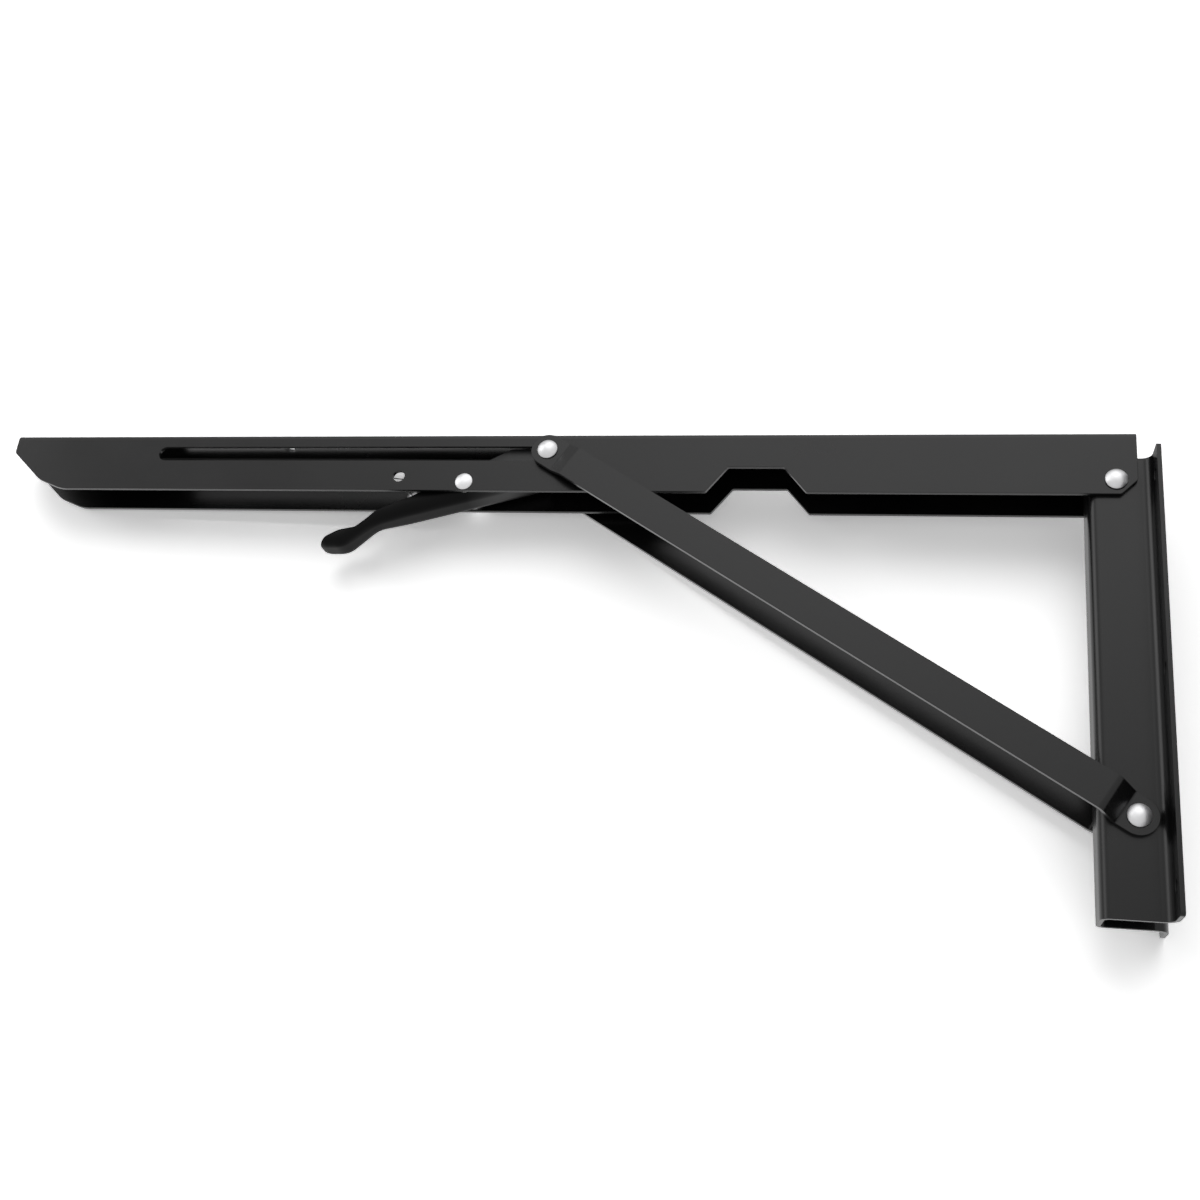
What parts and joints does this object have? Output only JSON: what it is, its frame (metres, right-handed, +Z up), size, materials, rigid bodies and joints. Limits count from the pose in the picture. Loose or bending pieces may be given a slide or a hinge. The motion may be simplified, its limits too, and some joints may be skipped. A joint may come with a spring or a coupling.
{
  "type": "drop leaf table bracket",
  "caption": "Folding shelf bracket: a channel arm hinged on a wall rail, held level by a sliding brace that a sprung thumb lever lets go.",
  "frame": {"origin": "centre of the rail's back face, which lies on the wall", "axes": "+X into the wall, the arm points along -X at rest, +Z up, Y across the rail"},
  "size_m": [0.4564, 0.04, 0.1751],
  "materials": {
    "black_coat": "satin",
    "bright_plate": "polished",
    "plain_steel": "brushed",
    "spring_wire": "polished"
  },
  "bodies": {
    "rail": {"wall_rail": "black_coat", "arm_pivot_rivet": "bright_plate", "brace_pivot_rivet": "bright_plate", "arm_pivot_spacer": "plain_steel", "brace_pivot_spacer": "plain_steel"},
    "arm": {"support_arm": "black_coat", "lever_rivet": "bright_plate", "lever_washer_near": "plain_steel", "lever_washer_far": "plain_steel", "torsion_spring": "spring_wire"},
    "brace": {"brace_bar_near": "black_coat", "brace_bar_far": "black_coat", "slide_rivet_near": "bright_plate", "slide_rivet_far": "bright_plate"},
    "guide": {"slide_guide_near": "plain_steel", "slide_guide_far": "plain_steel", "slide_washer_near": "plain_steel", "slide_washer_far": "plain_steel"},
    "lever": {"release_lever": "black_coat"}
  },
  "joints": [
    {"name": "arm_fold", "type": "hinge", "parent": "rail", "child": "arm", "pos_m": [-0.0138, 0, 0.0732], "axis": [0, -1, 0], "range_deg": [0, 90]},
    {"name": "brace_swing", "type": "hinge", "parent": "rail", "child": "brace", "pos_m": [-0.0108, 0, -0.0491], "axis": [0, -1, 0], "range_deg": [0, 118.95]},
    {"name": "guide_slide", "type": "slide", "parent": "arm", "child": "guide", "axis": [-1, 0, 0], "range_m": [0, 0.16307]},
    {"name": "lever_release", "type": "hinge", "parent": "arm", "child": "lever", "pos_m": [-0.2561, 0, 0.0713], "axis": [0, 1, 0], "range_deg": [0, 20], "stiffness_Nm_per_rad": 0.08, "springref_deg": -20.05, "deforming": ["torsion_spring"]}
  ],
  "couplings": [
    {"joint": "brace_swing", "follows": "arm_fold", "ratio": 1.3216},
    {"joint": "guide_slide", "follows": "arm_fold", "m_per_rad": 0.10381}
  ]
}
